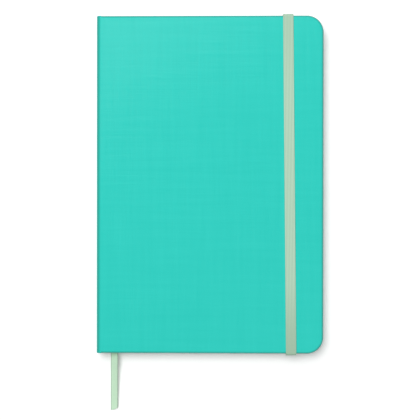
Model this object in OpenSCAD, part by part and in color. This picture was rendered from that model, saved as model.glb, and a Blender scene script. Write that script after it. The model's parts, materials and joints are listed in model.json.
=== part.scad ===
// Hardcover notebook with dotted pages, an elastic band and a ribbon marker.
// It lies closed on its back cover. X runs from the spine to the fore edge, Y from tail to head,
// and Z up from the table. The origin is under the middle of the closed book.

/* [Cover] */
// Width of the closed book, from the spine to the fore edge
cover_w = 141; // [125:0.5:160]
// Height of the book, from tail to head
cover_h = 210; // [190:0.5:230]
// Radius of the two corners at the fore edge
corner_r = 10.3; // [5:0.1:16]
// Thickness of each board
board_t = 2; // [1.5:0.1:3]
// Thickness of the covering material
wrap_t = 0.4; // [0.3:0.05:0.6]
// Width of the covering's turned-in edges
turn_in = 18; // [14:0.5:22]
// Thickness of the card strip that stiffens the spine
liner_t = 0.8; // [0.6:0.1:1.2]
// Outer radius of the covering's bends at the two edges of the spine
bend_r = 2.5; // [1:0.1:2.6]
// Space beside the spine where the cover bends, from the covering's inner face to a board
joint_gap = 2.4; // [2.2:0.1:4]
// Air between the spine's covering and the front covering at the fold where the cover turns
fold_air = 0.1; // [0.05:0.05:0.2]

/* [Pages] */
// Thickness of all the leaves together
block_t = 8.4; // [5:0.1:14]
// How far the boards stand out past the pages at head and tail
head_square = 3; // [2:0.1:5]
// How far the boards stand out past the pages at the fore edge
fore_square = 3.5; // [2:0.1:5]
// Radius of the pages' two corners at the fore edge
page_r = 8; // [3:0.1:12]
// Thickness of a leaf of the endpapers
paper_t = 0.2; // [0.15:0.05:0.3]
// Air between the two leaves of a folded endpaper
leaf_air = 0.1; // [0.05:0.05:0.2]
// Air between the front endpaper and the first page
cover_air = 0.2; // [0.1:0.05:0.4]
// Width of the endpaper's strip beside its fold that bridges to the board
hinge_strip = 2; // [1:0.5:4]

/* [Spine] */
// Thickness of the cloth glued on the backs of the sections
lining_t = 0.3; // [0.2:0.05:0.4]
// How far the cloth stops short of the pages at head and tail
lining_short = 7; // [5:0.5:12]
// Air between that cloth and the spine's turned-in covering
hollow_air = 0.1; // [0.05:0.05:0.3]
// Diameter of the bead of the head and tail bands
bead_d = 1.2; // [0.8:0.1:1.6]
// Air between a band's cloth tab and the spine's cloth
tab_air = 0.5; // [0.2:0.1:1]

/* [Elastic band] */
// Width of the elastic
band_w = 6.5; // [4:0.1:10]
// Thickness of the elastic
band_t = 0.8; // [0.5:0.05:1.1]
// Distance of the elastic's middle from the fore edge
band_in = 21; // [18:0.5:30]
// How far the elastic leans, in degrees
band_lean = 0.55; // [0:0.05:0.8]
// Air between the elastic and the covers that it crosses
band_air = 0.3; // [0.2:0.05:0.5]
// Air beside the elastic in its channel in the back board
band_side = 0.2; // [0.1:0.05:0.4]
// How far the elastic's glued end stops short of the turned-in edge
band_short = 3; // [2:0.5:5]

/* [Ribbon] */
// Width of the ribbon
ribbon_w = 4.5; // [3:0.1:7]
// Thickness of the ribbon
ribbon_t = 0.2; // [0.15:0.05:0.3]
// Distance of the ribbon's middle from the spine where it leaves the pages
ribbon_in = 10.4; // [8:0.1:20]
// How far the ribbon drifts towards the spine as it falls to the table
ribbon_drift = 0.7; // [0:0.1:2]
// Distance of the ribbon's upper end from the head of the pages
ribbon_down = 2; // [1:0.5:10]
// Distance of the ribbon's edge from the backs of the pages at its upper end
ribbon_gutter = 0.5; // [0.4:0.1:2]
// Air round the ribbon where it lies between the pages
ribbon_air = 0.1; // [0.05:0.05:0.2]
// Height of the ribbon's middle layer above the table where it lies flat
ribbon_rest = 0.15; // [0.15:0.05:0.4]
// Length of the slanting cut at the ribbon's end
ribbon_cut = 3; // [1:0.5:6]

/* [Hidden] */
$fn = 96;

// Planes of the cover, from the spine to the fore edge and from the table up
spine_x = -cover_w / 2;
fore_x = cover_w / 2;
fold_x = spine_x + bend_r;
liner_x = spine_x + wrap_t;
board_x = spine_x + wrap_t + joint_gap;
board_h = cover_h - 2 * wrap_t;
flap_x = liner_x + liner_t;
cloth_x = flap_x + wrap_t + hollow_air;
page_x = cloth_x + lining_t;
page_fore_x = fore_x - fore_square;
page_h = cover_h - 2 * head_square;
board_z = wrap_t;
ring_z = board_z + board_t;
paste_z = ring_z + wrap_t;
leaf_z = paste_z + paper_t + leaf_air;
block_z = leaf_z + paper_t;
block_top = block_z + block_t;
book_t = block_top + cover_air + block_z;
spine_top = book_t - fold_air;
liner_h = spine_top - 2 * bend_r;

// The elastic's lower plane in its channel, and its upper plane over the front cover
band_x = fore_x - band_in;
band_z = paste_z - band_t;
band_top = book_t + band_air + band_t;
band_end = cover_h / 2 - turn_in + band_short;

// The ribbon's fall from the pages to the table: how far it is past the tail of the pages,
// and how much of its height it still has there
ribbon_z = block_z + block_t / 2;
FALL = [[0, 1], [2, 0.98], [4, 0.93], [6, 0.86], [8, 0.78], [10, 0.7], [12, 0.62], [14, 0.54],
        [16, 0.47], [18, 0.41], [20, 0.35], [22, 0.3], [24, 0.25], [26, 0.2], [28, 0.16],
        [31, 0.11], [34, 0.06], [38, 0.02]];
ribbon_tail_x = spine_x + ribbon_in;
ribbon_head = [page_x + ribbon_gutter + ribbon_w / 2, page_h / 2 - ribbon_down, ribbon_z];
ribbon_route = concat(
    [ribbon_head],
    [for (f = FALL)
        [ribbon_tail_x - (1 - f[1]) * ribbon_drift, -page_h / 2 - f[0],
         ribbon_rest + f[1] * (ribbon_z - ribbon_rest)]]);
CUT_STEPS = 6;

// A sheet or board with square corners at the spine and round ones at the fore edge
module leaf(x0, x1, h, r) {
    translate([x0, -h / 2]) square([x1 - x0 - r, h]);
    translate([x0, -h / 2 + r]) square([x1 - x0, h - 2 * r]);
    for (side = [-1, 1]) {
        translate([x1 - r, side * (h / 2 - r)]) circle(r);
    }
}

module page_leaf() {
    leaf(page_x, page_fore_x, page_h, page_r);
}

// The part of a board's inner face that the turned-in edges leave bare
module window(x0, inset = 0) {
    x1 = fore_x - turn_in - inset;
    y1 = cover_h / 2 - turn_in - inset;
    translate([x0 + inset, -y1]) square([x1 - x0 - inset, 2 * y1]);
}

module one_board() {
    translate([0, 0, board_z])
        linear_extrude(board_t)
            leaf(board_x, fore_x - wrap_t, board_h, corner_r - wrap_t);
}

// The covering of one board: its outer sheet, its edges and the strips turned in
module board_covering() {
    linear_extrude(wrap_t) leaf(fold_x, fore_x, cover_h, corner_r);
    difference() {
        linear_extrude(paste_z) leaf(board_x, fore_x, cover_h, corner_r);
        one_board();
        translate([0, 0, ring_z - wrap_t])
            linear_extrude(3 * wrap_t)
                window(board_x - wrap_t);
    }
}

// A folded sheet: one leaf is pasted over the board and the turned-in edges, the other is free
module folded_sheet() {
    x0 = page_x + hinge_strip;
    translate([0, 0, paste_z])
        linear_extrude(paper_t)
            difference() {
                page_leaf();
                window(x0, paper_t);
            }
    translate([0, 0, ring_z])
        linear_extrude(wrap_t + paper_t)
            difference() {
                window(x0);
                window(x0, paper_t);
            }
    translate([0, 0, ring_z]) linear_extrude(paper_t) window(x0);
    translate([0, 0, leaf_z]) linear_extrude(paper_t) page_leaf();
    translate([page_x, -page_h / 2, paste_z]) cube([paper_t, page_h, block_z - paste_z]);
}

// The two channels where the ends of the elastic are glued into the back board
module band_channels() {
    channel_l = turn_in - band_short + band_side + band_t;
    translate([band_x, 0, band_z])
        rotate([0, 0, band_lean])
            for (side = [0, 180]) {
                rotate([0, 0, side])
                    translate([-band_w / 2 - band_side, band_end - band_side, 0])
                        cube([band_w + 2 * band_side, channel_l + band_side, 2 * band_t]);
            }
}

// Turns a shape of the back cover into the same shape of the front cover
module on_front() {
    translate([0, 0, book_t]) mirror([0, 0, 1]) children();
}

module front_board() {
    color("tan") on_front() one_board();
}

module back_board() {
    color("tan")
        difference() {
            one_board();
            band_channels();
        }
}

module spine_liner() {
    color("tan")
        translate([liner_x, -board_h / 2, bend_r])
            cube([liner_t, board_h, liner_h]);
}

module front_covering() {
    color("turquoise") on_front() board_covering();
}

// The end view of the spine: all that lies inset or more behind its covering's outer face, up to x1
module spine_section(inset, x1) {
    intersection() {
        union() {
            translate([fold_x, inset]) square([book_t, spine_top - 2 * inset]);
            translate([spine_x + inset, bend_r]) square([book_t, liner_h]);
            for (z = [bend_r, spine_top - bend_r]) {
                translate([fold_x, z]) circle(bend_r - inset);
            }
        }
        translate([spine_x, 0]) square([x1 - spine_x, spine_top]);
    }
}

// The room beside the fold for the front covering
module fold_room() {
    translate([fold_x - fold_air, spine_top - bend_r]) square(2 * bend_r);
}

// The sheet round the spine, with its ends turned in behind the card strip
module spine_covering() {
    flap_y = cover_h / 2 - turn_in;
    flap_end = flap_x + wrap_t;
    sheet_end = max(flap_end, fold_x);
    rotate([90, 0, 0])
        linear_extrude(cover_h, center = true)
            difference() {
                spine_section(0, sheet_end);
                spine_section(wrap_t, sheet_end + bend_r);
                fold_room();
            }
    for (side = [0, 1]) {
        mirror([0, side, 0]) {
            translate([0, cover_h / 2, 0])
                rotate([90, 0, 0])
                    linear_extrude(wrap_t)
                        difference() {
                            spine_section(0, flap_end);
                            fold_room();
                        }
            translate([flap_x, flap_y, bend_r]) cube([wrap_t, cover_h / 2 - flap_y, liner_h]);
        }
    }
}

module back_covering() {
    color("turquoise")
        difference() {
            union() {
                board_covering();
                spine_covering();
            }
            band_channels();
        }
}

module front_endpaper() {
    color("ivory") on_front() folded_sheet();
}

module back_endpaper() {
    color("ivory") folded_sheet();
}

// The slit that the ribbon keeps open between the pages, from its upper end to the tail
module ribbon_slit() {
    run = ribbon_head - ribbon_route[1];
    slant = atan2(-run[0], run[1]);
    translate(ribbon_head)
        rotate([0, 0, slant])
            translate([-ribbon_w / 2 - ribbon_air, -page_h - ribbon_air, -ribbon_t / 2 - ribbon_air])
                cube([ribbon_w + 2 * ribbon_air, page_h + 2 * ribbon_air, ribbon_t + 2 * ribbon_air]);
}

module page_block() {
    color("floralwhite")
        difference() {
            translate([0, 0, block_z]) linear_extrude(block_t) page_leaf();
            ribbon_slit();
        }
}

module spine_cloth() {
    cloth_h = page_h - 2 * lining_short;
    color("white") translate([cloth_x, -cloth_h / 2, block_z]) cube([lining_t, cloth_h, block_t]);
}

// A beaded cloth band: the bead lies on the end of the pages, its tab on their backs
module beaded_band() {
    tab_y = page_h / 2 - lining_short + tab_air;
    bead_r = bead_d / 2;
    translate([0, 0, block_z])
        linear_extrude(block_t) {
            translate([page_x, page_h / 2]) square([bead_d, bead_r]);
            translate([page_x + bead_r, page_h / 2 + bead_r]) circle(bead_r);
            translate([cloth_x, tab_y]) square([lining_t, page_h / 2 + bead_r - tab_y]);
        }
}

module head_band() {
    color("honeydew") beaded_band();
}

module tail_band() {
    color("honeydew") mirror([0, 1, 0]) beaded_band();
}

// A rectangle with four round corners, centred on the line x = 0
module round_frame(w, y0, y1, r) {
    translate([-w / 2 + r, y0]) square([w - 2 * r, y1 - y0]);
    translate([-w / 2, y0 + r]) square([w, y1 - y0 - 2 * r]);
    for (side = [-1, 1]) {
        for (y = [y0 + r, y1 - r]) {
            translate([side * (w / 2 - r), y]) circle(r);
        }
    }
}

// One strip of elastic, from its glued end at the head, over the front cover, to the one at the tail
module elastic_band() {
    inner_w = cover_h + 2 * band_air;
    color("lightgreen")
        translate([band_x, 0, 0])
            rotate([0, 0, band_lean])
                rotate([90, 0, 90])
                    linear_extrude(band_w, center = true)
                        difference() {
                            round_frame(inner_w + 2 * band_t, band_z, band_top, band_air + band_t);
                            round_frame(inner_w, paste_z, band_top - band_t, band_air);
                            translate([-band_end, band_z - band_t]) square([2 * band_end, 2 * band_t]);
                        }
}

// The ribbon's own cross-section at each point: its two edges in X, and its two faces
function ribbon_side(i) =
    let (last = len(ribbon_route) - 1,
         d = ribbon_route[min(i + 1, last)] - ribbon_route[max(i - 1, 1)],
         l = norm([d[1], d[2]]))
    i == 0 ? [0, 0, 1] : [0, d[2] / l, -d[1] / l];
function ribbon_ring(p, n, right) =
    let (left_x = [-ribbon_w / 2, 0, 0],
         right_x = [right, 0, 0],
         up = n * ribbon_t / 2)
    [p + left_x - up, p + right_x - up, p + right_x + up, p + left_x + up];

// The rings along the route, and then those of the slanting, rounded cut at the end
function ribbon_rings() = concat(
    [for (i = [0 : len(ribbon_route) - 1])
        ribbon_ring(ribbon_route[i], ribbon_side(i), ribbon_w / 2)],
    [for (k = [1 : CUT_STEPS])
        let (t = k / (CUT_STEPS + 0.2))
        ribbon_ring(ribbon_route[len(ribbon_route) - 1] - [0, ribbon_cut * t, 0], [0, 0, 1],
                    ribbon_w * (sqrt(1 - t * t) - 0.5))]);

module ribbon() {
    rings = ribbon_rings();
    last = len(rings) - 1;
    color("palegreen")
        polyhedron(
            points = [for (ring = rings) each ring],
            faces = concat(
                [[3, 2, 1, 0]],
                [for (i = [0 : last - 1])
                    each [for (k = [0 : 3])
                        let (m = (k + 1) % 4)
                        [4 * i + k, 4 * i + m, 4 * i + 4 + m, 4 * i + 4 + k]]],
                [[for (k = [0 : 3]) 4 * last + k]]));
}

front_board();
back_board();
spine_liner();
front_covering();
back_covering();
front_endpaper();
back_endpaper();
page_block();
spine_cloth();
head_band();
tail_band();
elastic_band();
ribbon();
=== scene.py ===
import json
import math

import bmesh
import bpy
import numpy as np
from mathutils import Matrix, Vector


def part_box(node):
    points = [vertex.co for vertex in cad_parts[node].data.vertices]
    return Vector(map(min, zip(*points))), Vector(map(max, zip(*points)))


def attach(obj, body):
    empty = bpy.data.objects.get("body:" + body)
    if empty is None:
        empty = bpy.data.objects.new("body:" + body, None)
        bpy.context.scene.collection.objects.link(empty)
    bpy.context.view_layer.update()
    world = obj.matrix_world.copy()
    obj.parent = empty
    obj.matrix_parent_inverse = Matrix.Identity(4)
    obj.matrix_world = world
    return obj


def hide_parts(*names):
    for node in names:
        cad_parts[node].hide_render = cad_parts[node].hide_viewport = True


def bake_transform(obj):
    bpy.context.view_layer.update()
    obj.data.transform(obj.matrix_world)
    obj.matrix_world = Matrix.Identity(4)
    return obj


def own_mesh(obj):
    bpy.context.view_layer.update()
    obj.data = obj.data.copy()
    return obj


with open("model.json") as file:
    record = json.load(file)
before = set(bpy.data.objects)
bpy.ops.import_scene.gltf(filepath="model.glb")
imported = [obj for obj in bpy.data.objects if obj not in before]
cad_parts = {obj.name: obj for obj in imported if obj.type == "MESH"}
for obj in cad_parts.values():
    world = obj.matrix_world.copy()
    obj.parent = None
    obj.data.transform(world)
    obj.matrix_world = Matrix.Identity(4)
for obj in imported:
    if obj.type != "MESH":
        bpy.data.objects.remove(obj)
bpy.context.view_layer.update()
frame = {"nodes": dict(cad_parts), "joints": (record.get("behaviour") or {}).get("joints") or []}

# The leaves: about 80 sheets of cream writing paper, folded into five sections and sewn through
# their folds, then cut flush on three sides. The cut edges show as fine lines, and the first page
# carries the grid of grey dots.

MM = 0.001
LEAVES = 80
SECTIONS = 5
PAGE_CORNER_R = 8 * MM
LEAF_GROOVE = 0.05 * MM
LEAF_STAGGER = 0.06 * MM
SECTION_HOLLOW = 0.3 * MM
SLIT_HALF_W = 2.35 * MM
SLIT_HALF_T = 0.2 * MM
SLIT_REACH = 1.5 * MM    # how far beside the ribbon the leaves part
SLIT_TAIL_X = -60.1 * MM
SLIT_HEAD_X = -65.75 * MM
SLIT_HEAD_Y = 100.1 * MM
DOT_PITCH = 5 * MM
DOT_D = 0.8 * MM         # about twice the printed dot, so that it shows in the render
DOT_MARGIN = 4 * MM
NEAR = 0.1 * MM          # closer than this counts as lying on a face
block_lo, block_hi = (np.array(corner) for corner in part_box("page_block"))


def linear(hex_colour):
    """An sRGB hex colour as linear RGBA: a low channel over 12.92, any other raised to 2.4."""
    srgb = np.array([int(hex_colour[i:i + 2], 16) for i in (1, 3, 5)]) / 255
    rgb = np.where(srgb <= 0.04045, srgb / 12.92, ((srgb + 0.055) / 1.055) ** 2.4)
    return (*rgb.tolist(), 1.0)


def add(tree, kind, inputs, **settings):
    """Adds a node with its settings. An input's value is a socket to link or a constant."""
    node = tree.nodes.new("ShaderNode" + kind)
    for name, value in settings.items():
        setattr(node, name, value)
    for key, value in inputs.items():
        if isinstance(value, bpy.types.NodeSocket):
            tree.links.new(value, node.inputs[key])
        else:
            node.inputs[key].default_value = value
    return node


def finish_of(name, **sockets):
    """A material with one Principled shader whose sockets have plain values."""
    material = bpy.data.materials.new(name)
    material.use_nodes = True
    tree = material.node_tree
    tree.nodes.clear()
    shader = add(tree, "BsdfPrincipled", {k.replace("_", " "): v for k, v in sockets.items()})
    add(tree, "OutputMaterial", {"Surface": shader.outputs[0]})
    return material, tree, shader


def quads(numbers):
    """The four-cornered faces between neighbouring rows and columns of a grid of point numbers."""
    corners = [numbers[:-1, :-1], numbers[:-1, 1:], numbers[1:, 1:], numbers[1:, :-1]]
    return np.stack(corners, -1).reshape(-1, 4).tolist()


def piece(name, points, faces, material, uv=None, sharp_deg=35, taut=None):
    """A mesh object from points (n, 3) and faces, all turned outwards. uv gives two values a point, and
    the last argument one, the share of painted shade at that point."""
    mesh = bpy.data.meshes.new(name)
    mesh.from_pydata(points.reshape(-1, 3).tolist(), [], faces)
    shell = bmesh.new()
    shell.from_mesh(mesh)
    bmesh.ops.recalc_face_normals(shell, faces=shell.faces)
    shell.to_mesh(mesh)
    shell.free()
    if uv is not None:
        corner = np.zeros(len(mesh.loops), np.int32)
        mesh.loops.foreach_get("vertex_index", corner)
        layer = mesh.uv_layers.new(name="cloth")
        layer.data.foreach_set("uv", uv.reshape(-1, 2)[corner].astype(np.float32).ravel())
    if taut is not None:
        layer = mesh.attributes.new("taut", "FLOAT", "POINT")
        layer.data.foreach_set("value", taut.ravel().astype(np.float32))
    mesh.polygons.foreach_set("use_smooth", np.ones(len(mesh.polygons), bool))
    mesh.set_sharp_from_angle(angle=math.radians(sharp_deg))
    mesh.materials.append(material)
    obj = bpy.data.objects.new(name, mesh)
    bpy.context.scene.collection.objects.link(obj)
    return obj


def page_outline():
    """The outline of a leaf from the spine's tail corner, along the tail, fore edge, head and spine.

    Returns the points, their outward directions and 1 for a cut edge or 0 for the folds.
    """
    x0, x1, y1, r = block_lo[0], block_hi[0], block_hi[1], PAGE_CORNER_R
    slit_side = np.array([0.5, 1, 1.01, 1.15, 1.4, 1.8])
    slit = SLIT_TAIL_X + SLIT_HALF_W * np.concatenate([-slit_side[::-1], [0], slit_side])
    tail_x = np.union1d(np.linspace(x0, x1 - r, 34), slit)
    turn = np.linspace(0, math.pi / 2, 10)[1:-1]
    fore_y = np.linspace(-y1 + r, y1 - r, 42)
    spine_y = np.linspace(y1, -y1, 30)[1:-1]
    head_x = np.linspace(x1 - r, x0, 34)
    x = np.concatenate([tail_x, x1 - r + r * np.sin(turn), np.full(42, x1),
                        x1 - r + r * np.cos(turn), head_x, np.full(28, x0)])
    y = np.concatenate([np.full(len(tail_x), -y1), -y1 + r - r * np.cos(turn), fore_y,
                        y1 - r + r * np.sin(turn), np.full(34, y1), spine_y])
    ahead = np.stack([np.roll(x, -1) - np.roll(x, 1), np.roll(y, -1) - np.roll(y, 1)], -1)
    ahead /= np.linalg.norm(ahead, axis=1, keepdims=True)
    cut = (x > x0 + NEAR).astype(float)
    return np.stack([x, y], -1), np.stack([ahead[:, 1], -ahead[:, 0]], -1), cut


def page_block_points(rng):
    """The side of the block as a grid (outline, rows). Each leaf has an edge of two rows, a little in
    or out of line with its neighbours, and a groove after it. The folds make one hump a section. In
    the middle, the leaves part round the ribbon, and two rows run in along its slit."""
    outline, outward, cut = page_outline()
    leaf_t = (block_hi[2] - block_lo[2]) / LEAVES
    middle_z = (block_hi[2] + block_lo[2]) / 2
    half_t = (block_hi[2] - block_lo[2]) / 2
    leaf = np.repeat(np.arange(LEAVES), 3)
    place = np.tile([0.15, 0.85, 1.0], LEAVES)
    rise = (leaf + place) * leaf_t
    middle = 3 * (LEAVES // 2) - 1
    order = np.insert(np.arange(3 * LEAVES), middle, middle)
    rise, leaf, groove = rise[order], leaf[order], (place == 1.0)[order]
    rise[0] = 0
    groove[-1] = False
    side = np.where(np.arange(len(rise)) <= middle, -1.0, 1.0)
    away = np.abs(rise - half_t)[None, :]
    beside = np.maximum(np.abs(outline[:, :1] - SLIT_TAIL_X) - SLIT_HALF_W, 0)
    at_tail = (outline[:, 1:] < block_lo[1] + NEAR) * 1.0
    part = SLIT_HALF_T * (0.03 + 0.97 * at_tail * np.exp(-(beside / SLIT_REACH) ** 2))
    z = middle_z + side * (part + away * (1 - part / half_t))
    along = np.arange(len(outline))[:, None] / len(outline) * 2 * math.pi
    swing = rng.uniform(-1, 1, LEAVES)
    turns = rng.integers(2, 7, LEAVES)
    phase = rng.uniform(0, 2 * math.pi, LEAVES)
    stagger = LEAF_STAGGER * (0.6 * swing[leaf] + 0.4 * np.sin(turns[leaf] * along + phase[leaf]))
    inset = LEAF_STAGGER + stagger + groove * LEAF_GROOVE
    share = rise / (2 * half_t) * SECTIONS % 1.0
    hump = SECTION_HOLLOW * (1 - np.sqrt(1 - (2 * share - 1) ** 2 * 0.99))
    inset = cut[:, None] * inset + (1 - cut[:, None]) * hump[None, :]
    xy = outline[:, None, :] - outward[:, None, :] * inset[..., None]
    points = np.concatenate([xy, z[..., None]], -1)
    inside = np.flatnonzero((beside[:, 0] < 1e-7) & (at_tail[:, 0] > 0))
    for row, height in ((middle, -SLIT_HALF_T), (middle + 1, SLIT_HALF_T)):
        points[inside, row, 0] += SLIT_HEAD_X - SLIT_TAIL_X
        points[inside, row, 1] = SLIT_HEAD_Y
        points[inside, row, 2] = middle_z + height
    return points


def writing_paper(name, colour, dots):
    """Uncoated wood-free paper: matt, with a faint cloudy look-through and fibres of about 0.4 mm.
    The dots are small grey discs, one to each square of the grid, and stop short of the cut edges."""
    material, tree, shader = finish_of(name, Roughness=0.85, IOR=1.45)
    place = add(tree, "TexCoord", {}).outputs["Object"]
    cloud = add(tree, "TexNoise", {"Vector": place, "Scale": 90.0, "Detail": 3.0})
    tone = add(tree, "ValToRGB", {"Fac": cloud.outputs["Fac"]})
    tone.color_ramp.elements[0].color = linear(colour[0])
    tone.color_ramp.elements[1].color = linear(colour[1])
    tone.color_ramp.elements[0].position = 0.3
    tone.color_ramp.elements[1].position = 0.7
    base = tone.outputs["Color"]
    if dots:
        cell = add(tree, "VectorMath", {0: place, 1: (1 / DOT_PITCH,) * 3}, operation="MULTIPLY")
        within = add(tree, "VectorMath", {0: cell.outputs[0]}, operation="FRACTION")
        off = add(tree, "VectorMath", {0: within.outputs[0], 1: (0.5, 0.5, 0.0)}, operation="SUBTRACT")
        flat = add(tree, "VectorMath", {0: off.outputs[0], 1: (DOT_PITCH, DOT_PITCH, 0.0)},
                   operation="MULTIPLY")
        reach = add(tree, "VectorMath", {0: flat.outputs[0]}, operation="LENGTH")
        disc = add(tree, "MapRange", {"Value": reach.outputs["Value"], "From Min": 0.56 * DOT_D,
                                      "From Max": 0.44 * DOT_D})
        part = add(tree, "SeparateXYZ", {0: place})
        top = add(tree, "Math", {0: part.outputs["Z"], 1: block_hi[2] - 0.03 * MM},
                  operation="GREATER_THAN")
        mask = add(tree, "Math", {0: disc.outputs[0], 1: top.outputs[0]}, operation="MULTIPLY")
        for axis, half in (("X", block_hi[0] - DOT_MARGIN), ("Y", block_hi[1] - DOT_MARGIN)):
            size = add(tree, "Math", {0: part.outputs[axis]}, operation="ABSOLUTE")
            clear = add(tree, "Math", {0: size.outputs[0], 1: half}, operation="LESS_THAN")
            mask = add(tree, "Math", {0: mask.outputs[0], 1: clear.outputs[0]}, operation="MULTIPLY")
        printed = add(tree, "Mix", {"Factor": mask.outputs[0], "A": base, "B": linear("#9AA0A4")},
                      data_type="RGBA")
        base = printed.outputs["Result"]
    tree.links.new(base, shader.inputs["Base Color"])
    fibre = add(tree, "TexNoise", {"Vector": place, "Scale": 2500.0, "Detail": 4.0})
    bump = add(tree, "Bump", {"Height": fibre.outputs["Fac"], "Strength": 0.25,
                              "Distance": 0.02 * MM})
    tree.links.new(bump.outputs[0], shader.inputs["Normal"])
    return material


rng = np.random.default_rng(7)
page_paper = writing_paper("writing_paper_dotted", ("#F6F1E1", "#FAF6EA"), True)
side_points = page_block_points(rng)
numbers = np.arange(side_points[..., 0].size).reshape(side_points.shape[:2])
round_trip = np.concatenate([numbers, numbers[:1]])
caps = [numbers[:, 0].tolist(), numbers[::-1, -1].tolist()]
pages = piece("pages", side_points, quads(round_trip) + caps, page_paper, sharp_deg=50)
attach(pages, "book")
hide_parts("page_block")

# The spine cloth: an open cotton gauze glued over the folds of the sections, stiff with dried glue.
# It stays as the solid is made, with the gauze's threads in its material.

THREAD_PITCH = 1.1 * MM


def gauze():
    """Glued cotton gauze: threads crossing at 1.1 mm, raised, with glue film shining between them."""
    material, tree, shader = finish_of("gauze_glued", Roughness=0.6, IOR=1.48)
    place = add(tree, "TexCoord", {}).outputs["Object"]
    rows = [add(tree, "TexWave", {"Vector": place, "Scale": 2 * math.pi / 20 / THREAD_PITCH},
                bands_direction=axis) for axis in ("Y", "Z")]
    both = add(tree, "Math", {0: rows[0].outputs["Fac"], 1: rows[1].outputs["Fac"]}, operation="MAXIMUM")
    tone = add(tree, "Mix", {"Factor": both.outputs[0], "A": linear("#CFC7B2"), "B": linear("#F0ECE0")},
               data_type="RGBA")
    tree.links.new(tone.outputs["Result"], shader.inputs["Base Color"])
    bump = add(tree, "Bump", {"Height": both.outputs[0], "Strength": 0.6, "Distance": 0.15 * MM})
    tree.links.new(bump.outputs[0], shader.inputs["Normal"])
    return material


frame["nodes"]["spine_cloth"].data.materials.clear()
frame["nodes"]["spine_cloth"].data.materials.append(gauze())

# The head and tail bands: a cotton tape with a beaded edge, wound with pale green and white thread.
# The bead lies on the end of the leaves and the tape is glued down their backs.

BEAD_R = 0.6 * MM
WIND_RISE = 0.08
WIND_PITCH = 0.45 * MM
TAPE_T = 0.3 * MM
TAPE_WAVE = 0.04 * MM
TAPE_WAVE_RUN = 1.4 * MM
tape_lo, tape_hi = (np.array(corner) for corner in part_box("head_band"))


def beaded_band_mesh(end):
    """A bead whose radius rises and falls with its winding, a helix about Z, and a tape behind it.
    end is 1 for the head and -1 for the tail, and mirrors Y."""
    rise = np.linspace(0, 1, 150)[:, None] * (tape_hi[2] - tape_lo[2])
    turn = np.linspace(0, 2 * math.pi, 21)[:-1][None, :]
    r = BEAD_R * (1 - WIND_RISE + WIND_RISE * np.cos(2 * math.pi * rise / WIND_PITCH + turn))
    bead = np.stack([block_lo[0] + BEAD_R + r * np.cos(turn), block_hi[1] + BEAD_R + r * np.sin(turn),
                     tape_lo[2] + rise + 0 * turn], -1)
    numbers = np.arange(bead[..., 0].size).reshape(bead.shape[:2])
    faces = quads(np.concatenate([numbers, numbers[:, :1]], 1))
    faces += [numbers[0].tolist(), numbers[-1].tolist()]
    tape_y = np.linspace(tape_lo[1], block_hi[1] + BEAD_R, 12)[:, None]
    tape_z = np.linspace(tape_lo[2], tape_hi[2], 12)[None, :]
    back = tape_lo[0] + TAPE_WAVE * np.sin(tape_z / TAPE_WAVE_RUN + 0 * tape_y)
    tape = np.stack([np.stack([x, tape_y + 0 * x, tape_z + 0 * x], -1) for x in (back, back + TAPE_T)])
    layers = bead[..., 0].size + np.arange(tape[..., 0].size).reshape(tape.shape[:3])
    faces += quads(layers[0]) + quads(layers[1])
    for rim in (layers[:, 0], layers[:, -1], layers[:, :, 0], layers[:, :, -1]):
        faces += quads(rim)
    points = np.concatenate([bead.reshape(-1, 3), tape.reshape(-1, 3)])
    return points * [1, end, 1], faces


def wound_thread():
    """Mercerised cotton thread wound in two colours: soft sheen, and a slanting stripe at each turn."""
    material, tree, shader = finish_of("cotton_wound", Roughness=0.7, Sheen_Weight=0.3)
    place = add(tree, "TexCoord", {}).outputs["Object"]
    part = add(tree, "SeparateXYZ", {0: place})
    step = add(tree, "Math", {0: part.outputs["Z"], 1: 0.5 / WIND_PITCH}, operation="MULTIPLY")
    phase = add(tree, "Math", {0: step.outputs[0]}, operation="FRACT")
    pick = add(tree, "Math", {0: phase.outputs[0], 1: 0.5}, operation="GREATER_THAN")
    tone = add(tree, "Mix", {"Factor": pick.outputs[0], "A": linear("#BFE0C4"), "B": linear("#F4F3EA")},
               data_type="RGBA")
    tree.links.new(tone.outputs["Result"], shader.inputs["Base Color"])
    return material


thread = wound_thread()
for node_name, end in (("head_band", 1), ("tail_band", -1)):
    band_points, band_faces = beaded_band_mesh(end)
    band = piece(node_name.replace("_", "_beaded_"), band_points, band_faces, thread)
    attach(band, "book")
    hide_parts(node_name)

# The ribbon marker: a single-face satin ribbon 4.5 mm wide, glued at its upper end behind the
# sections. It lies between the leaves, falls from the tail to the table and ends in a slanting cut.

RIBBON_W = 4.5 * MM
RIBBON_T = 0.2 * MM
RIBBON_CUT = 3 * MM
RIBBON_REST_Z = 0.15 * MM
RIBBON_Z = (block_lo[2] + block_hi[2]) / 2
RIBBON_HEAD_Y = 100 * MM
RIBBON_DRIFT = 0.7 * MM
RIBBON_RAISED = 1.5 * MM
RIBBON_CURL_RUN = 10 * MM
RIBBON_SMOOTH = 1.5 * MM
# The width of the painted shade along each edge of the ribbon.
RIBBON_EDGE_SHADE_W = 0.35 * MM
SATIN_REP = 0.75 * MM
SATIN_WEFT = 0.5 * MM
RIBBON_FALL = np.array([[0, 1], [2, 0.98], [4, 0.93], [6, 0.86], [8, 0.78], [10, 0.7], [12, 0.62],
                        [14, 0.54], [16, 0.47], [18, 0.41], [20, 0.35], [22, 0.3], [24, 0.25],
                        [26, 0.2], [28, 0.16], [31, 0.11], [34, 0.06], [38, 0.02]])


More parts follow.
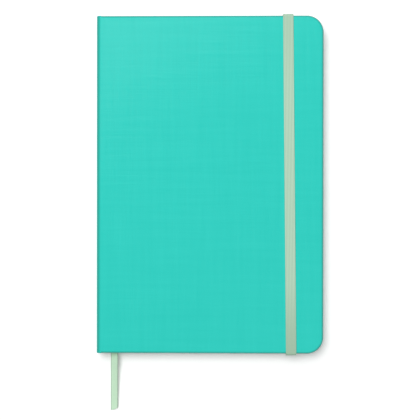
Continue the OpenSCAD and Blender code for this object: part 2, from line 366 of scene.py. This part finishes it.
def ribbon_grid():
    """The ribbon as a grid (stations, columns, faces). Its height falls with the distance past the tail,
    smoothed over 3 mm, and it drifts to the spine as it falls. It curls a little: its right edge rises
    with the square of the place across it. Each selvage is a little thicker than the ribbon, and the
    cut's right edge moves in as a quarter of an ellipse."""
    hidden = np.linspace(RIBBON_HEAD_Y, block_lo[1], 40)[:-1]
    last = RIBBON_FALL[-1, 0] * MM
    past = np.concatenate([np.linspace(0, last, 110), last + RIBBON_CUT * np.linspace(0.05, 0.97, 14)])
    y = np.concatenate([hidden, block_lo[1] - past])
    window = np.linspace(-RIBBON_SMOOTH, RIBBON_SMOOTH, 13)
    spread = np.maximum(past[:, None] + window, 0)
    share = np.interp(spread / MM, RIBBON_FALL[:, 0], RIBBON_FALL[:, 1]).mean(1)
    falling = RIBBON_REST_Z + share * (RIBBON_Z - RIBBON_REST_Z)
    z = np.concatenate([np.full(len(hidden), RIBBON_Z), falling])
    x = np.interp(y, [block_lo[1], RIBBON_HEAD_Y], [SLIT_TAIL_X, SLIT_HEAD_X])
    x[len(hidden):] -= (1 - share) * RIBBON_DRIFT
    t = np.clip((block_lo[1] - last - y) / RIBBON_CUT, 0, 1)
    right = RIBBON_W * (np.sqrt(1 - t ** 2) - 0.5)
    column = np.linspace(0, 1, 17)[None, :]
    across = -RIBBON_W / 2 + column * (right[:, None] + RIBBON_W / 2)
    selvage = 0.82 + 0.18 * (np.abs(column - 0.5) > 0.42)
    rounding = np.minimum(1, (1 - np.abs(2 * column - 1)) * 30 + 0.3)
    thick = RIBBON_T / 2 * selvage * rounding
    slope = np.gradient(z, y)
    tilt = np.stack([np.zeros_like(y), -slope, np.ones_like(y)], -1) / np.sqrt(1 + slope ** 2)[:, None]
    curl = RIBBON_RAISED * np.clip(np.concatenate([0 * hidden, past]) / RIBBON_CURL_RUN, 0, 1)[:, None]
    centre = np.stack([x, y, z], -1)[:, None, :] + across[..., None] * [1, 0, 0]
    centre[..., 2] += curl * (across / RIBBON_W + 0.5) ** 2
    lift = thick[..., None] * tilt[:, None, :]
    along = np.concatenate([[0], np.cumsum(np.hypot(np.diff(y), np.diff(z)))])
    uv = np.stack(np.broadcast_arrays(across, along[:, None]), -1)
    return np.stack([centre + lift, centre - lift], 2), np.stack([uv, uv], 2)


def satin():
    """Polyester satin: long floats along the ribbon give a soft sheen, and the fine weft ticks of the
    weave, drawn at 0.5 mm instead of 0.1 mm, keep it from looking like plastic. Both edges are
    painted darker, as shade along them."""
    material, tree, shader = finish_of("satin_ribbon", Roughness=0.5, Sheen_Weight=0.4,
                                       Sheen_Roughness=0.4, Specular_IOR_Level=0.45)
    flat = add(tree, "UVMap", {}, uv_map="cloth").outputs[0]
    part = add(tree, "SeparateXYZ", {0: flat})
    rep = add(tree, "Math", {0: part.outputs["X"], 1: 2 * math.pi / SATIN_REP}, operation="MULTIPLY")
    rib = add(tree, "Math", {0: rep.outputs[0]}, operation="COSINE")
    weft = add(tree, "Math", {0: part.outputs["Y"], 1: 2 * math.pi / SATIN_WEFT}, operation="MULTIPLY")
    tick = add(tree, "Math", {0: weft.outputs[0]}, operation="COSINE")
    cloud = add(tree, "TexNoise", {"Vector": flat, "Scale": 400.0, "Detail": 2.0})
    tone = add(tree, "Mix", {"Factor": cloud.outputs["Fac"], "A": linear("#C4E9C8"),
                             "B": linear("#D2F1D4")}, data_type="RGBA")
    # Painted shade along the ribbon's two edges.
    side = add(tree, "Math", {0: part.outputs["X"]}, operation="ABSOLUTE")
    selvage = add(tree, "MapRange", {"Value": side.outputs[0],
                                     "From Min": RIBBON_W / 2 - 1.5 * RIBBON_EDGE_SHADE_W,
                                     "From Max": RIBBON_W / 2 - 0.5 * RIBBON_EDGE_SHADE_W})
    edge_shaded = add(tree, "Mix", {"Factor": selvage.outputs[0], "A": tone.outputs["Result"],
                              "B": linear("#9CB8A1")}, data_type="RGBA")
    tree.links.new(edge_shaded.outputs["Result"], shader.inputs["Base Color"])
    height = add(tree, "Math", {0: rib.outputs[0], 1: tick.outputs[0]}, operation="ADD")
    bump = add(tree, "Bump", {"Height": height.outputs[0], "Strength": 0.35, "Distance": 0.02 * MM})
    tree.links.new(bump.outputs[0], shader.inputs["Normal"])
    return material


ribbon_points, ribbon_uv = ribbon_grid()
numbers = np.arange(ribbon_points[..., 0].size).reshape(ribbon_points.shape[:3])
ribbon_faces = []
for skin in (numbers[:, :, 0], numbers[:, :, 1], numbers[:, 0], numbers[:, -1], numbers[0], numbers[-1]):
    ribbon_faces += quads(skin)
ribbon = piece("ribbon_marker", ribbon_points, ribbon_faces, satin(), uv=ribbon_uv)
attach(ribbon, "book")
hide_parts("ribbon")

# The boards and the spine strip: grey board cut by guillotine, hidden under the covering. They stay
# as the solids are made, and show only at the joint, from the head or tail.


def grey_board():
    """Grey binder's board of recycled pulp: dull, with darker and lighter flecks about 1 mm long."""
    material, tree, shader = finish_of("grey_board", Roughness=0.9, IOR=1.45)
    place = add(tree, "TexCoord", {}).outputs["Object"]
    fleck = add(tree, "TexNoise", {"Vector": place, "Scale": 900.0, "Detail": 5.0})
    tone = add(tree, "Mix", {"Factor": fleck.outputs["Fac"], "A": linear("#8F887C"), "B": linear("#BDB5A6")},
               data_type="RGBA")
    tree.links.new(tone.outputs["Result"], shader.inputs["Base Color"])
    bump = add(tree, "Bump", {"Height": fleck.outputs["Fac"], "Strength": 0.5, "Distance": 0.05 * MM})
    tree.links.new(bump.outputs[0], shader.inputs["Normal"])
    return material


board_finish = grey_board()
for node_name in ("front_board", "back_board", "spine_liner"):
    frame["nodes"][node_name].data.materials.clear()
    frame["nodes"][node_name].data.materials.append(board_finish)

# The covering: one sheet of coated covering material glued round both boards and the spine strip,
# with its edges turned in all round and pleated at the round corners. It is soft and matt, and it
# bends at the fold where the front cover turns, which is where the two pieces of it meet.

WRAP_T = 0.4 * MM
BOARD_CORNER_R = 10.3 * MM
LEAST_R = 0.6 * MM
TURN_IN = 18 * MM
EDGE_R = 1.39 * MM
EDGE_W = 1.5 * MM
BEND_R = 2.5 * MM
COVER_T = 2.8 * MM
FOLDED_T = 0.85 * MM
SPINE_T = 1.6 * MM
STRIP_EDGE = 0.5 * MM
JOINT_STEP = (0.05 * MM, 0.6 * MM)
EAR = 0.4 * MM
EAR_RUN = 9 * MM
CREASE_SLOPE = 0.3
CREASE_W = 0.7 * MM
PLEAT = 0.14 * MM
PLEATS = 6
PLEAT_RISE = (0.8 * MM, 4 * MM)
PLEAT_FALL = (8 * MM, 14 * MM)
FACE_MARGIN = 2.1 * MM   # the outermost ring of the flat face
CORNER_RUN = 25 * MM     # the run before the round corners that takes up their inset
THIN = 0.01 * MM         # the least radius, so that no face closes up
# How much shade is painted in the spine's two bends, at its deepest half way round each.
BEND_SHADE = 0.85
SLUB_W = 3.2 * MM
SLUB_THIN = 0.06
hinge = frame["joints"][0]
fold_x, fold_z = hinge["pos_m"][0], hinge["pos_m"][2]
fore_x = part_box("front_covering")[1][0]
cover_half_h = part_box("front_covering")[1][1]
cover_w = fore_x - fold_x
spine_run = fold_z - 2 * BEND_R
bend_run = math.pi / 2 * BEND_R
back_start = 2 * bend_run + spine_run


def smooth_step(value, start, end):
    """Rises from 0 at start to 1 at end, as 3t^2 - 2t^3."""
    t = np.clip((value - start) / (end - start), 0, 1)
    return t * t * (3 - 2 * t)


def cover_depth(distance):
    """How thick the cover is at a distance from the bend beside it: the folded sheet, then the board."""
    return FOLDED_T + (COVER_T - FOLDED_T) * smooth_step(distance, *JOINT_STEP)


def spine_depth(distance):
    """The thickness along the spine's sheet, from the fold on: two bends with the strip between them."""
    strip = smooth_step(distance, bend_run, bend_run + STRIP_EDGE)
    strip = strip * (1 - smooth_step(distance, bend_run + spine_run - STRIP_EDGE, bend_run + spine_run))
    return np.where(distance < back_start, FOLDED_T + (SPINE_T - FOLDED_T) * strip,
                    cover_depth(distance - back_start))


def casing(length, stations, depth_at, shade_at, to_space):
    """A sheet wrapped round three edges of its boards, worked out flat and then carried to its place.

    Flat, a point has a distance from the fold, a height and a depth below the outer face. The rim's
    points run out along the tail edge, round the corners and back along the head edge. Its profile
    is the turned-in strip, a quarter circle below the edge, a quarter ellipse above it and the margin of
    the outer face, each inset from the edge. The outer and inner skins are a covering's thickness apart.
    Returns the points, the faces and the share of painted shade on the sheet: 1 where it stands upright at
    the edge or in a bend of the spine, and 0 where it lies flat.
    """
    turn = np.linspace(0, math.pi / 2, 37)
    station = np.concatenate([stations, np.full(len(turn) - 1, length - BOARD_CORNER_R)])
    turn = np.concatenate([np.zeros(len(stations)), turn[1:]])
    station, turn = (np.concatenate([half, half[::-1]])[:, None] for half in (station, turn))
    side = np.repeat([-1.0, 1.0], len(station) // 2)[:, None]
    total = depth_at(station)
    edge_r = np.minimum(EDGE_R, total / 2 - THIN)
    edge_w = edge_r * EDGE_W / EDGE_R
    strip = np.array([18, 15, 12, 9.5, 7, 5, 3.5, 2.2, 1.3])[None, :] * MM
    quarter = np.linspace(0, math.pi / 2, 7)[None, :]
    skins, rim_shading = [], []
    for below in (0, WRAP_T):
        r = np.maximum(edge_r - below, THIN)
        pleat = PLEAT * np.maximum(np.cos(2 * PLEATS * turn), 0) * (turn > 0) * (turn < math.pi / 2)
        pleat = pleat * smooth_step(strip, *PLEAT_RISE) * (1 - smooth_step(strip, *PLEAT_FALL))
        inset = [strip + 0 * station, edge_r - r * np.sin(quarter),
                 edge_w - (edge_w - below) * np.cos(quarter), FACE_MARGIN + 0 * station]
        depth = [total - below + pleat, total - edge_r + r * np.cos(quarter),
                 edge_r - r * np.sin(quarter), below + 0 * station]
        inset, depth = np.concatenate(inset, 1), np.concatenate(depth, 1)
        rim = np.clip(1 - inset / edge_w, 0, 1)
        corner_r = np.maximum(BOARD_CORNER_R - inset, LEAST_R)
        start = length - CORNER_RUN
        stretch = (length - inset - corner_r - start) / (length - BOARD_CORNER_R - start)
        distance = np.where(station > start, start + (station - start) * stretch, station)
        distance = distance + corner_r * np.sin(turn)
        height = side * (cover_half_h - inset - corner_r + corner_r * np.cos(turn))
        skins.append(to_space(distance, height, depth))
        # Painted shade: full on the outermost rim of each edge, fading across it, and in the spine's bends.
        rim_shading.append(np.maximum(rim, shade_at(distance)))
    points, rim_shading = np.stack(skins), np.stack(rim_shading)
    outer, inner = np.arange(points[..., 0].size).reshape(points.shape[:3])
    half = len(station) // 2
    faces = quads(outer) + quads(inner) + quads(np.stack([outer[:, 0], inner[:, 0]], 1))
    for skin in (outer, inner):
        faces += quads(np.stack([skin[:half, -1], skin[::-1][:half, -1]], 1))
    for end in (0, -1):
        faces += quads(np.stack([outer[end], inner[end]], 1))
    faces.append([outer[0, -1], outer[-1, -1], inner[-1, -1], inner[0, -1]])
    return points, [[int(n) for n in face] for face in faces], rim_shading


def flat_shade(distance):
    """A cover has no bend of its own, so no painted shade from a bend."""
    return 0 * distance


def spine_shade(distance):
    """Painted shade on the spine's sheet in its two bends: the bends' full shade times the sine of twice the
    angle that it has turned through, so it is darkest half way round."""
    first = np.clip(distance / bend_run, 0, 1)
    second = np.clip((distance - bend_run - spine_run) / bend_run, 0, 1)
    return BEND_SHADE * np.maximum(np.sin(math.pi * first), np.sin(math.pi * second))


def front_place(distance, height, depth):
    """The front cover lies flat: distance runs along X from the fold, and depth down from its face.
    Beside the fold the sheet is creased: it dips by slope * d * (1 - d / width) at the distance d."""
    crease = CREASE_SLOPE * distance * np.maximum(1 - distance / CREASE_W, 0)
    return np.stack(np.broadcast_arrays(fold_x + distance, height, fold_z - depth - crease), -1)


def back_place(distance, height, depth):
    """The sheet goes from the fold round the first bend, down the spine, round the second bend and
    along the table. Its outward direction turns with the two bends' angles. The spine's ends stand
    out a little as ears, where the turned-in material is doubled."""
    first = np.clip(distance / BEND_R, 0, math.pi / 2)
    down = np.clip(distance - bend_run, 0, spine_run)
    second = np.clip((distance - bend_run - spine_run) / BEND_R, 0, math.pi / 2)
    out = np.maximum(distance - back_start, 0)
    out_x, out_z = -np.sin(first + second), np.cos(first + second)
    swell = np.sin(math.pi * np.clip(distance / back_start, 0, 1)) ** 2
    ear = EAR * swell * smooth_step(np.abs(height), cover_half_h - EAR_RUN, cover_half_h)
    x = fold_x + (BEND_R + ear - depth) * out_x + out
    z = fold_z - BEND_R - down + (BEND_R + ear - depth) * out_z
    return np.stack(np.broadcast_arrays(x, height, z), -1)


def coated_cover():
    """Soft-touch coated cloth: a matt film over a linen weave, whose slubs run both ways as streaks
    1 to 6 mm wide and many times as long. The film fills the weave, so highlights are soft and weak.
    The threads of 0.4 mm are too fine to show, so the finest streaks are drawn 0.8 mm wide. Along the
    edges and in the spine's bends, the colour is painted deeper, as shade where the sheet turns away."""
    material, tree, shader = finish_of("coated_linen", Roughness=0.22, Specular_IOR_Level=0.23)
    place = add(tree, "TexCoord", {}).outputs["Object"]
    slubs = []
    for stretch in ((1, SLUB_THIN, 1), (SLUB_THIN, 1, 1)):
        run = add(tree, "VectorMath", {0: place, 1: stretch}, operation="MULTIPLY")
        slubs.append(add(tree, "TexNoise", {"Vector": run.outputs[0], "Scale": 1 / SLUB_W, "Detail": 3.0,
                                            "Roughness": 0.65}))
    weave = add(tree, "Math", {0: slubs[0].outputs["Fac"], 1: slubs[1].outputs["Fac"]}, operation="ADD")
    shade = add(tree, "MapRange", {"Value": weave.outputs[0], "From Min": 0.7, "From Max": 1.3})
    tone = add(tree, "Mix", {"Factor": shade.outputs[0], "A": linear("#2AD0C2"), "B": linear("#30D4C6")},
               data_type="RGBA")
    # Painted shade: the colour darkens to #20A093 along the covers' edges and in the spine's bends.
    taut = add(tree, "Attribute", {}, attribute_name="taut").outputs["Fac"]
    drawn = add(tree, "Mix", {"Factor": taut, "A": tone.outputs["Result"], "B": linear("#20A093")},
                data_type="RGBA")
    tree.links.new(drawn.outputs["Result"], shader.inputs["Base Color"])
    bump = add(tree, "Bump", {"Height": weave.outputs[0], "Strength": 1.0, "Distance": 0.12 * MM})
    tree.links.new(bump.outputs[0], shader.inputs["Normal"])
    return material


covering = coated_cover()
joint_stations = np.linspace(0, 2 * JOINT_STEP[1], 13)
front_stations = np.concatenate([joint_stations, np.linspace(5 * MM, cover_w - BOARD_CORNER_R, 30)])
strip_stations = np.linspace(0, 1.2 * STRIP_EDGE, 5)
spine_stations = np.concatenate([np.linspace(0, bend_run, 9)[:-1],
                                 bend_run + strip_stations,
                                 bend_run + spine_run / 2 + np.array([-3, 0, 3]) * MM,
                                 bend_run + spine_run - strip_stations[::-1],
                                 np.linspace(bend_run + spine_run, back_start, 9)[1:-1]])
back_stations = np.concatenate([spine_stations, back_start + front_stations])
front_casing = casing(cover_w, front_stations, cover_depth, flat_shade, front_place)
back_casing = casing(back_start + cover_w, back_stations, spine_depth, spine_shade, back_place)
for node_name, mesh, body in (("front_covering", front_casing, "front_cover"),
                              ("back_covering", back_casing, "book")):
    skin = piece(node_name.replace("_covering", "_cover_sheet"), mesh[0], mesh[1], covering, taut=mesh[2])
    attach(skin, body)
    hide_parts(node_name)

# The endpapers: at each end of the leaves, a folded sheet of strong cream paper. One leaf is pasted
# over the board and the turned-in edges, which show through as a step. The other leaf is free, and
# a strip of it beside the fold is glued to the first page.

PAPER_T = 0.14 * MM
PASTED_Z = 12.3 * MM
FREE_Z = 12.0 * MM
WINDOW_X = fore_x - TURN_IN
WINDOW_Y = cover_half_h - TURN_IN
WINDOW_X0 = -67 * MM
STEP_W = 1.2 * MM
STRIP_Z = 11.79 * MM
STRIP_T = 0.1 * MM
STRIP_X = (-68.4 * MM, -63.5 * MM)
STRIP_END = (-67.5 * MM, 12.02 * MM)


def leaf_half_height(x):
    """Half the height of a leaf at x: full, then falling along the round corner at the fore edge."""
    past = np.clip(x - (block_hi[0] - PAGE_CORNER_R), 0, PAGE_CORNER_R)
    return block_hi[1] - PAGE_CORNER_R + np.sqrt(PAGE_CORNER_R ** 2 - past ** 2)


def board_step(x, y):
    """1 where the pasted leaf sinks onto the bare board, inside the turned-in edges, and 0 on them."""
    across = smooth_step(x, WINDOW_X0, WINDOW_X0 + STEP_W) * (1 - smooth_step(x, WINDOW_X - STEP_W, WINDOW_X))
    return across * (1 - smooth_step(np.abs(y), WINDOW_Y - STEP_W, WINDOW_Y))


def sheet_of_paper(x, z, thickness, rows, sink):
    """A sheet carried along a path in X and Z. Its height follows the leaf's outline, and both faces
    are half a thickness from the path. sink is how far the path's pasted part sinks on the board."""
    ahead = np.stack([np.gradient(x), np.gradient(z)], -1)
    ahead /= np.linalg.norm(ahead, axis=1, keepdims=True)
    y = rows[None, :] * leaf_half_height(x)[:, None]
    faces_of = []
    for face in (0.5, -0.5):
        fx = (x - ahead[:, 1] * face * thickness)[:, None] + 0 * y
        fz = (z + ahead[:, 0] * face * thickness)[:, None] + sink[:, None] * board_step(fx, y)
        faces_of.append(np.stack([fx, y, fz], -1))
    points = np.stack(faces_of, 2)
    numbers = np.arange(points[..., 0].size).reshape(points.shape[:3])
    faces = []
    for skin in (numbers[:, :, 0], numbers[:, :, 1], numbers[:, 0], numbers[:, -1], numbers[0], numbers[-1]):
        faces += quads(skin)
    return points.reshape(-1, 3), faces


corner_x = block_hi[0] - PAGE_CORNER_R + PAGE_CORNER_R * np.sin(np.linspace(0, math.pi / 2, 12))
step_x = np.concatenate([WINDOW_X0 + np.linspace(0, STEP_W, 5), np.linspace(-60, 45, 10) * MM,
                         WINDOW_X - STEP_W + np.linspace(0, STEP_W, 5)])
leaf_x = np.concatenate([step_x, corner_x])
fold_turn = np.linspace(math.pi / 2, -math.pi / 2, 9)
fold_r = (PASTED_Z - FREE_Z) / 2
bend_x = block_lo[0] + fold_r + PAPER_T / 2 - fold_r * np.cos(fold_turn)
bend_z = (PASTED_Z + FREE_Z) / 2 + fold_r * np.sin(fold_turn)
folded_x = np.concatenate([leaf_x[::-1], bend_x, leaf_x])
folded_z = np.concatenate([np.full(len(leaf_x), PASTED_Z), bend_z, np.full(len(leaf_x), FREE_Z)])
sunk = np.concatenate([np.full(len(leaf_x), WRAP_T), np.zeros(len(folded_x) - len(leaf_x))])
step_y = (WINDOW_Y - STEP_W + np.linspace(0, STEP_W, 5)) / block_hi[1]
sheet_rows = np.concatenate([[-1], -step_y[::-1], np.linspace(-0.7, 0.7, 8), step_y, [1]])
folded_points, folded_faces = sheet_of_paper(folded_x, folded_z, PAPER_T, sheet_rows, sunk)
strip_x = np.array([STRIP_X[0], STRIP_X[1] - 1 * MM, STRIP_X[1], STRIP_END[0], STRIP_END[0] - 0.2 * MM])
strip_z = np.array([STRIP_Z, STRIP_Z, STRIP_Z, STRIP_END[1], STRIP_END[1]])
strip_points, strip_faces = sheet_of_paper(strip_x, strip_z, STRIP_T, np.array([-1, 0, 1]), np.zeros(5))
endpaper = writing_paper("endpaper_strong", ("#F4EFDF", "#F8F4E7"), False)
front_points = np.concatenate([folded_points, strip_points])
front_faces = folded_faces + [[n + len(folded_points) for n in face] for face in strip_faces]
front_paper = piece("front_endpaper_sheet", front_points, front_faces, endpaper)
back_points = folded_points * [1, 1, -1] + [0, 0, fold_z]
back_paper = piece("back_endpaper_sheet", back_points, folded_faces, endpaper)
for paper, node_name in ((front_paper, "front_endpaper"), (back_paper, "back_endpaper")):
    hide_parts(node_name)
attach(back_paper, "book")
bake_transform(front_paper)

# The elastic band: flat woven elastic, rubber cords under pale green yarn, in seven lengthwise ribs.
# Its ends are glued into the back board's inner face. It comes out at head and tail and lies tight
# across the front cover.

BAND_W = 6.5 * MM
BAND_T = 0.8 * MM
BAND_RIBS = 7
BAND_RIB_H = 0.05 * MM
SELVAGE_FROM = 0.93
CHEVRON = 0.9 * MM
BAND_LEAN = math.radians(0.55)
BAND_GLUED_Y = 90 * MM
BAND_SLIT_Z = 2.4 * MM
BAND_REST = 0.04 * MM
BAND_SIDE_Y = cover_half_h + 0.6 * MM
BAND_TOP_R = 1.2 * MM
# Painted shade: the elastic darkens from here towards both ends.
END_SHADE_Y = 55 * MM      # where the darker ends begin
BAND_SLIT_R = 0.7 * MM
band_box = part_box("elastic_band")
band_x = (band_box[0][0] + band_box[1][0]) / 2
band_top_z = fold_z + BAND_REST + BAND_T / 2


def band_route():
    """The middle layer of the elastic in Y and Z, from its glued end at the tail, up through the slit,
    round the cover's edge and over to the head: straight runs with quarter circles between them."""
    turn = np.linspace(0, math.pi / 2, 11)[1:-1]
    in_y = np.linspace(BAND_GLUED_Y, BAND_SIDE_Y - BAND_SLIT_R, 6)
    slit_y = BAND_SIDE_Y - BAND_SLIT_R + BAND_SLIT_R * np.sin(turn)
    slit_z = BAND_SLIT_Z + BAND_SLIT_R - BAND_SLIT_R * np.cos(turn)
    up_z = np.linspace(BAND_SLIT_Z + BAND_SLIT_R, band_top_z - BAND_TOP_R, 9)
    top_y = BAND_SIDE_Y - BAND_TOP_R + BAND_TOP_R * np.cos(turn)
    top_z = band_top_z - BAND_TOP_R + BAND_TOP_R * np.sin(turn)
    over_y = np.linspace(BAND_SIDE_Y - BAND_TOP_R, 0, 50)
    y = np.concatenate([in_y, slit_y, np.full(9, BAND_SIDE_Y), top_y, over_y])
    z = np.concatenate([np.full(6, BAND_SLIT_Z), slit_z, up_z, top_z, np.full(50, band_top_z)])
    return np.concatenate([-y, y[-2::-1]]), np.concatenate([z, z[-2::-1]])


def elastic_grid():
    """A ribbed cross-section carried along the route, each rib an arch, thinner at the two selvages.
    Rings are closed: across the upper face and back across the lower one."""
    y, z = band_route()
    ahead = np.stack([np.gradient(y), np.gradient(z)], -1)
    ahead /= np.linalg.norm(ahead, axis=1, keepdims=True)
    across = np.linspace(-1, 1, 6 * BAND_RIBS + 1)
    rib = BAND_RIB_H * (np.abs(np.cos(math.pi * BAND_RIBS * (across + 1) / 2 + math.pi / 2)) - 1)
    edge = np.sqrt(np.clip(1 - np.maximum(np.abs(across) - SELVAGE_FROM, 0) ** 2 / 0.005, 0.02, 1))
    half_t = (BAND_T / 2 + rib) * edge
    ring_x = np.concatenate([across, across[::-1]]) * BAND_W / 2
    ring_t = np.concatenate([half_t, -half_t[::-1]])
    py = y[:, None] - ring_t * ahead[:, 1:]
    pz = z[:, None] + ring_t * ahead[:, :1]
    along = np.concatenate([[0], np.cumsum(np.hypot(np.diff(y), np.diff(z)))])[:, None]
    px = ring_x[None, :] + 0 * py
    points = np.stack([band_x + px * math.cos(BAND_LEAN) - py * math.sin(BAND_LEAN),
                       px * math.sin(BAND_LEAN) + py * math.cos(BAND_LEAN), pz], -1)
    return points, np.stack(np.broadcast_arrays(px, along), -1)


def woven_elastic():
    """Braided elastic: dull polyester yarn crossing each rib in small chevrons, drawn at 0.9 mm instead
    of 0.3 mm, with painted shade in the furrows between the ribs and towards the ends."""
    material, tree, shader = finish_of("woven_elastic", Roughness=0.8, Sheen_Weight=0.25,
                                       Sheen_Roughness=0.5, Specular_IOR_Level=0.3)
    flat = add(tree, "UVMap", {}, uv_map="cloth").outputs[0]
    part = add(tree, "SeparateXYZ", {0: flat})
    rib = add(tree, "Math", {0: part.outputs["X"], 1: BAND_RIBS / BAND_W}, operation="MULTIPLY")
    fold = add(tree, "Math", {0: rib.outputs[0], 1: 0.5}, operation="PINGPONG")
    slant = add(tree, "Math", {0: part.outputs["Y"], 1: 1 / CHEVRON}, operation="MULTIPLY")
    chevron = add(tree, "Math", {0: slant.outputs[0], 1: fold.outputs[0]}, operation="ADD")
    turn = add(tree, "Math", {0: chevron.outputs[0], 1: 2 * math.pi}, operation="MULTIPLY")
    yarn = add(tree, "Math", {0: turn.outputs[0]}, operation="SINE")
    # Painted shade in the furrows between the ribs.
    furrow_shade = add(tree, "MapRange", {"Value": fold.outputs[0], "From Min": 0.1, "From Max": 0.32})
    tone = add(tree, "Mix", {"Factor": furrow_shade.outputs[0], "A": linear("#C6E2CB"), "B": linear("#AED0B6")},
               data_type="RGBA")
    place = add(tree, "TexCoord", {}).outputs["Object"]
    height = add(tree, "SeparateXYZ", {0: place}).outputs["Y"]
    # Painted shade towards the ends: full at the tail, about a third of it at the head.
    tail = add(tree, "MapRange", {"Value": height, "From Min": -END_SHADE_Y, "From Max": -cover_half_h},
               interpolation_type="SMOOTHSTEP")
    head = add(tree, "MapRange", {"Value": height, "From Min": END_SHADE_Y, "From Max": cover_half_h,
                                  "To Max": 0.35}, interpolation_type="SMOOTHSTEP")
    end_shade = add(tree, "Math", {0: tail.outputs[0], 1: head.outputs[0]}, operation="ADD")
    end_shaded = add(tree, "Mix", {"Factor": end_shade.outputs[0], "A": tone.outputs["Result"],
                             "B": linear("#A8C6AD")}, data_type="RGBA")
    tree.links.new(end_shaded.outputs["Result"], shader.inputs["Base Color"])
    bump = add(tree, "Bump", {"Height": yarn.outputs[0], "Strength": 0.4, "Distance": 0.04 * MM})
    tree.links.new(bump.outputs[0], shader.inputs["Normal"])
    return material


band_points, band_uv = elastic_grid()
numbers = np.arange(band_points[..., 0].size).reshape(band_points.shape[:2])
band_faces = quads(np.concatenate([numbers, numbers[:, :1]], 1))
band_faces += [numbers[0].tolist(), numbers[-1].tolist()]
elastic = piece("elastic_closing_band", band_points, band_faces, woven_elastic(), uv=band_uv)
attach(elastic, "book")
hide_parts("elastic_band")
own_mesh(elastic)

# The studio: a white table, a wide soft light almost overhead and a little to the upper left, a weak
# soft box near that corner, which the cover reflects, and an even pale sky. The overhead light is left
# out of reflections, because the sky stands for it there. The camera looks straight down from 0.7 m.

CAMERA_AT = (0.01338, -0.01388, 0.700)
CAMERA_TURN_DEG = (-0.156, 1.111, 0.06)
LENS_MM = 94.54
OVERHEAD_FROM = (-0.17, 0.24, 1.0)
OVERHEAD_SPREAD_DEG = 29
OVERHEAD_LEVEL = 0.61
SKY = 0.22
SOFT_BOX_AT = (-0.12, 0.24, 0.55)
SOFT_BOX_TURN_DEG = 30
SOFT_BOX_SIZE = (0.5, 0.22)
SOFT_BOX_WATTS = 0.65
TABLE_SEEN = 0.98
TABLE_BOUNCE = 0.8
TABLE_LIFT = 0.15


def seen_ray(tree):
    """1 for a ray from the camera, or one that glossy or clear material sends on, and 0 for light."""
    path = add(tree, "LightPath", {})
    shown = path.outputs["Is Camera Ray"]
    for name in ("Is Glossy Ray", "Is Transmission Ray"):
        shown = add(tree, "Math", {0: shown, 1: path.outputs[name]}, operation="MAXIMUM").outputs[0]
    return shown


def white_table():
    """White painted board: plain diffuse, brighter to the eye than in the light that it throws back, and
    lifted a little for the eye alone, so that it reaches white and keeps the shadow."""
    material = bpy.data.materials.new("white_table")
    material.use_nodes = True
    tree = material.node_tree
    tree.nodes.clear()
    shown = seen_ray(tree)
    tone = add(tree, "MapRange", {"Value": shown, "To Min": TABLE_BOUNCE, "To Max": TABLE_SEEN})
    paint = add(tree, "BsdfDiffuse", {"Color": tone.outputs[0]})
    lift = add(tree, "Math", {0: shown, 1: TABLE_LIFT}, operation="MULTIPLY")
    glow = add(tree, "Emission", {"Color": (1, 1, 1, 1), "Strength": lift.outputs[0]})
    both = add(tree, "AddShader", {0: paint.outputs[0], 1: glow.outputs[0]})
    add(tree, "OutputMaterial", {"Surface": both.outputs[0]})
    return material


bpy.ops.mesh.primitive_plane_add(size=6)
table = bpy.context.object
table.name = "table"
table.data.materials.append(white_table())

world = bpy.data.worlds.new("sky")
bpy.context.scene.world = world
world.use_nodes = True
world.node_tree.nodes.clear()
level = add(world.node_tree, "MapRange", {"Value": seen_ray(world.node_tree), "To Min": SKY, "To Max": 1.0})
sky = add(world.node_tree, "Background", {"Color": (1, 1, 1, 1), "Strength": level.outputs[0]})
add(world.node_tree, "OutputWorld", {"Surface": sky.outputs[0]})

overhead = bpy.data.objects.new("overhead", bpy.data.lights.new("overhead", "SUN"))
overhead_from = Vector(OVERHEAD_FROM)
overhead.data.angle = math.radians(OVERHEAD_SPREAD_DEG)
overhead.data.energy = OVERHEAD_LEVEL * math.pi / overhead_from.normalized().z
overhead.rotation_euler = (-overhead_from).to_track_quat("-Z", "Y").to_euler()
overhead.visible_glossy = False
bpy.context.scene.collection.objects.link(overhead)

soft_box = bpy.data.objects.new("soft_box", bpy.data.lights.new("soft_box", "AREA"))
soft_box.data.energy = SOFT_BOX_WATTS
soft_box.data.shape = "RECTANGLE"
soft_box.data.size, soft_box.data.size_y = SOFT_BOX_SIZE
soft_box.location = SOFT_BOX_AT
soft_box.rotation_euler.z = math.radians(SOFT_BOX_TURN_DEG)
bpy.context.scene.collection.objects.link(soft_box)

camera = bpy.data.objects.new("camera", bpy.data.cameras.new("camera"))
camera.data.lens = LENS_MM
camera.data.sensor_width = 36
camera.data.clip_start = 0.01
camera.location = CAMERA_AT
camera.rotation_euler = [math.radians(angle) for angle in CAMERA_TURN_DEG]
bpy.context.scene.collection.objects.link(camera)
bpy.context.scene.camera = camera

bpy.context.scene.view_settings.view_transform = "Standard"
